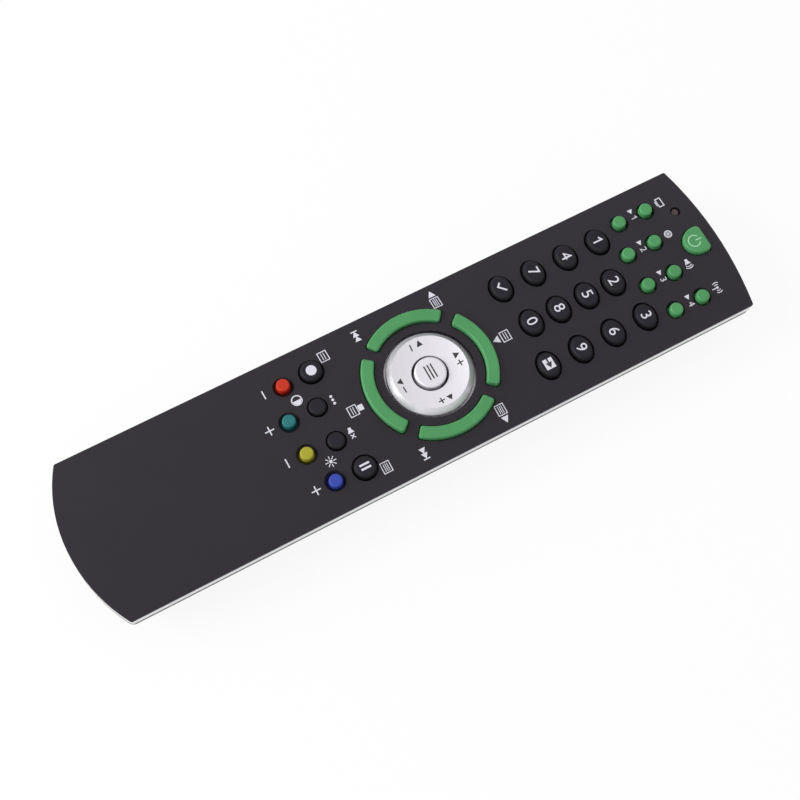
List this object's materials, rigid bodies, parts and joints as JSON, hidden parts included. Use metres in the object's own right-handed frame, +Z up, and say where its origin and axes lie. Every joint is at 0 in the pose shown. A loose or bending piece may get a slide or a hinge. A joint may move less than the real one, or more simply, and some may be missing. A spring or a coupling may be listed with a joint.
{
  "type": "universal remote control",
  "caption": "Slim handheld remote control with a crowned dark face plate, coloured rubber keys, a rocking silver disc in a ring of arc keys and a sliding battery cover.",
  "frame": {"origin": "middle of the bounding box's bottom face, which is the flat back that the remote lies on", "axes": "+Y along the remote toward the emitter end, +X to the right seen from the keys, +Z up out of the key side"},
  "size_m": [0.05, 0.2114, 0.0194],
  "materials": {
    "plate_plastic": "satin charcoal",
    "silver_trim": "satin silver paint on plastic",
    "shell_plastic": "fine matt texture",
    "silver_key": "satin silver paint",
    "green_rubber": "soft satin",
    "dark_rubber": "soft satin",
    "red_rubber": "soft satin",
    "teal_rubber": "soft satin",
    "yellow_rubber": "soft satin",
    "blue_rubber": "soft satin",
    "mat_rubber": "matt",
    "ir_filter": "dark polished",
    "emitter_lens": "clear tinted",
    "red_lens": "dark red polished",
    "board": "solder mask",
    "chip_resin": "moulded resin",
    "can_metal": "plain",
    "can_sleeve": "printed sleeve left plain",
    "cell_wrap": "plain wrap",
    "spring_steel": "nickel plated",
    "screw_steel": "black oxide",
    "print_white": "screen-printed white ink",
    "print_pale": "screen-printed pale ink",
    "print_dark": "screen-printed dark ink"
  },
  "bodies": {
    "case": {"face_plate": "plate_plastic", "side_trim": "silver_trim", "lower_shell": "shell_plastic", "ir_window": "ir_filter", "ir_emitter": "emitter_lens", "status_light": "red_lens", "keypad_mat": "mat_rubber", "circuit_board": "board", "controller_chip": "chip_resin", "crystal": "can_metal", "capacitor": "can_sleeve", "cell_left": "cell_wrap", "cell_right": "cell_wrap", "contact_positive": "spring_steel", "contact_negative": "spring_steel", "contact_bridge": "spring_steel", "case_screws": "screw_steel"},
    "battery_cover": {"battery_cover": "shell_plastic"},
    "disc_hub": {"disc_hub": "mat_rubber"},
    "disc": {"disc": "silver_key"},
    "key_power": {"key_power": "green_rubber"},
    "key_device_1": {"key_device_1": "green_rubber"},
    "key_device_2": {"key_device_2": "green_rubber"},
    "key_device_3": {"key_device_3": "green_rubber"},
    "key_device_4": {"key_device_4": "green_rubber"},
    "key_extra_1": {"key_extra_1": "green_rubber"},
    "key_extra_2": {"key_extra_2": "green_rubber"},
    "key_extra_3": {"key_extra_3": "green_rubber"},
    "key_extra_4": {"key_extra_4": "green_rubber"},
    "key_1": {"key_1": "dark_rubber"},
    "key_2": {"key_2": "dark_rubber"},
    "key_3": {"key_3": "dark_rubber"},
    "key_4": {"key_4": "dark_rubber"},
    "key_5": {"key_5": "dark_rubber"},
    "key_6": {"key_6": "dark_rubber"},
    "key_7": {"key_7": "dark_rubber"},
    "key_8": {"key_8": "dark_rubber"},
    "key_9": {"key_9": "dark_rubber"},
    "key_0": {"key_0": "dark_rubber"},
    "key_confirm": {"key_confirm": "dark_rubber"},
    "key_input": {"key_input": "dark_rubber"},
    "key_record": {"key_record": "dark_rubber"},
    "key_pause": {"key_pause": "dark_rubber"},
    "key_plain_left": {"key_plain_left": "dark_rubber"},
    "key_plain_right": {"key_plain_right": "dark_rubber"},
    "key_arc_right": {"key_arc_right": "green_rubber"},
    "key_arc_up": {"key_arc_up": "green_rubber"},
    "key_arc_left": {"key_arc_left": "green_rubber"},
    "key_arc_down": {"key_arc_down": "green_rubber"},
    "key_red": {"key_red": "red_rubber"},
    "key_teal": {"key_teal": "teal_rubber"},
    "key_yellow": {"key_yellow": "yellow_rubber"},
    "key_blue": {"key_blue": "blue_rubber"},
    "key_menu": {"key_menu": "silver_key"}
  },
  "joints": [
    {"name": "cover_slide", "type": "slide", "parent": "case", "child": "battery_cover", "axis": [0, -1, 0], "range_m": [0, 0.008]},
    {"name": "disc_rock_lengthwise", "type": "hinge", "parent": "case", "child": "disc_hub", "pos_m": [0, 0.00696, 0.01393], "axis": [1, 0, 0], "range_deg": [-2.5, 2.5], "stiffness_Nm_per_rad": 0.15},
    {"name": "disc_rock_sideways", "type": "hinge", "parent": "disc_hub", "child": "disc", "pos_m": [0, 0.00696, 0.01393], "axis": [0, 1, 0], "range_deg": [-2.5, 2.5], "stiffness_Nm_per_rad": 0.15},
    {"name": "press_power", "type": "slide", "parent": "case", "child": "key_power", "axis": [0, 0, -1], "range_m": [0, 0.0009], "stiffness_N_per_m": 300},
    {"name": "press_device_1", "type": "slide", "parent": "case", "child": "key_device_1", "axis": [0, 0, -1], "range_m": [0, 0.0009], "stiffness_N_per_m": 300},
    {"name": "press_device_2", "type": "slide", "parent": "case", "child": "key_device_2", "axis": [0, 0, -1], "range_m": [0, 0.0009], "stiffness_N_per_m": 300},
    {"name": "press_device_3", "type": "slide", "parent": "case", "child": "key_device_3", "axis": [0, 0, -1], "range_m": [0, 0.0009], "stiffness_N_per_m": 300},
    {"name": "press_device_4", "type": "slide", "parent": "case", "child": "key_device_4", "axis": [0, 0, -1], "range_m": [0, 0.0009], "stiffness_N_per_m": 300},
    {"name": "press_extra_1", "type": "slide", "parent": "case", "child": "key_extra_1", "axis": [0, 0, -1], "range_m": [0, 0.0009], "stiffness_N_per_m": 300},
    {"name": "press_extra_2", "type": "slide", "parent": "case", "child": "key_extra_2", "axis": [0, 0, -1], "range_m": [0, 0.0009], "stiffness_N_per_m": 300},
    {"name": "press_extra_3", "type": "slide", "parent": "case", "child": "key_extra_3", "axis": [0, 0, -1], "range_m": [0, 0.0009], "stiffness_N_per_m": 300},
    {"name": "press_extra_4", "type": "slide", "parent": "case", "child": "key_extra_4", "axis": [0, 0, -1], "range_m": [0, 0.0009], "stiffness_N_per_m": 300},
    {"name": "press_1", "type": "slide", "parent": "case", "child": "key_1", "axis": [0, 0, -1], "range_m": [0, 0.0009], "stiffness_N_per_m": 300},
    {"name": "press_2", "type": "slide", "parent": "case", "child": "key_2", "axis": [0, 0, -1], "range_m": [0, 0.0009], "stiffness_N_per_m": 300},
    {"name": "press_3", "type": "slide", "parent": "case", "child": "key_3", "axis": [0, 0, -1], "range_m": [0, 0.0009], "stiffness_N_per_m": 300},
    {"name": "press_4", "type": "slide", "parent": "case", "child": "key_4", "axis": [0, 0, -1], "range_m": [0, 0.0009], "stiffness_N_per_m": 300},
    {"name": "press_5", "type": "slide", "parent": "case", "child": "key_5", "axis": [0, 0, -1], "range_m": [0, 0.0009], "stiffness_N_per_m": 300},
    {"name": "press_6", "type": "slide", "parent": "case", "child": "key_6", "axis": [0, 0, -1], "range_m": [0, 0.0009], "stiffness_N_per_m": 300},
    {"name": "press_7", "type": "slide", "parent": "case", "child": "key_7", "axis": [0, 0, -1], "range_m": [0, 0.0009], "stiffness_N_per_m": 300},
    {"name": "press_8", "type": "slide", "parent": "case", "child": "key_8", "axis": [0, 0, -1], "range_m": [0, 0.0009], "stiffness_N_per_m": 300},
    {"name": "press_9", "type": "slide", "parent": "case", "child": "key_9", "axis": [0, 0, -1], "range_m": [0, 0.0009], "stiffness_N_per_m": 300},
    {"name": "press_0", "type": "slide", "parent": "case", "child": "key_0", "axis": [0, 0, -1], "range_m": [0, 0.0009], "stiffness_N_per_m": 300},
    {"name": "press_confirm", "type": "slide", "parent": "case", "child": "key_confirm", "axis": [0, 0, -1], "range_m": [0, 0.0009], "stiffness_N_per_m": 300},
    {"name": "press_input", "type": "slide", "parent": "case", "child": "key_input", "axis": [0, 0, -1], "range_m": [0, 0.0009], "stiffness_N_per_m": 300},
    {"name": "press_record", "type": "slide", "parent": "case", "child": "key_record", "axis": [0, 0, -1], "range_m": [0, 0.0009], "stiffness_N_per_m": 300},
    {"name": "press_pause", "type": "slide", "parent": "case", "child": "key_pause", "axis": [0, 0, -1], "range_m": [0, 0.0009], "stiffness_N_per_m": 300},
    {"name": "press_plain_left", "type": "slide", "parent": "case", "child": "key_plain_left", "axis": [0, 0, -1], "range_m": [0, 0.0009], "stiffness_N_per_m": 300},
    {"name": "press_plain_right", "type": "slide", "parent": "case", "child": "key_plain_right", "axis": [0, 0, -1], "range_m": [0, 0.0009], "stiffness_N_per_m": 300},
    {"name": "press_arc_right", "type": "slide", "parent": "case", "child": "key_arc_right", "axis": [0, 0, -1], "range_m": [0, 0.0009], "stiffness_N_per_m": 300},
    {"name": "press_arc_up", "type": "slide", "parent": "case", "child": "key_arc_up", "axis": [0, 0, -1], "range_m": [0, 0.0009], "stiffness_N_per_m": 300},
    {"name": "press_arc_left", "type": "slide", "parent": "case", "child": "key_arc_left", "axis": [0, 0, -1], "range_m": [0, 0.0009], "stiffness_N_per_m": 300},
    {"name": "press_arc_down", "type": "slide", "parent": "case", "child": "key_arc_down", "axis": [0, 0, -1], "range_m": [0, 0.0009], "stiffness_N_per_m": 300},
    {"name": "press_red", "type": "slide", "parent": "case", "child": "key_red", "axis": [0, 0, -1], "range_m": [0, 0.0009], "stiffness_N_per_m": 300},
    {"name": "press_teal", "type": "slide", "parent": "case", "child": "key_teal", "axis": [0, 0, -1], "range_m": [0, 0.0009], "stiffness_N_per_m": 300},
    {"name": "press_yellow", "type": "slide", "parent": "case", "child": "key_yellow", "axis": [0, 0, -1], "range_m": [0, 0.0009], "stiffness_N_per_m": 300},
    {"name": "press_blue", "type": "slide", "parent": "case", "child": "key_blue", "axis": [0, 0, -1], "range_m": [0, 0.0009], "stiffness_N_per_m": 300},
    {"name": "press_menu", "type": "slide", "parent": "case", "child": "key_menu", "axis": [0, 0, -1], "range_m": [0, 0.0009], "stiffness_N_per_m": 300}
  ]
}
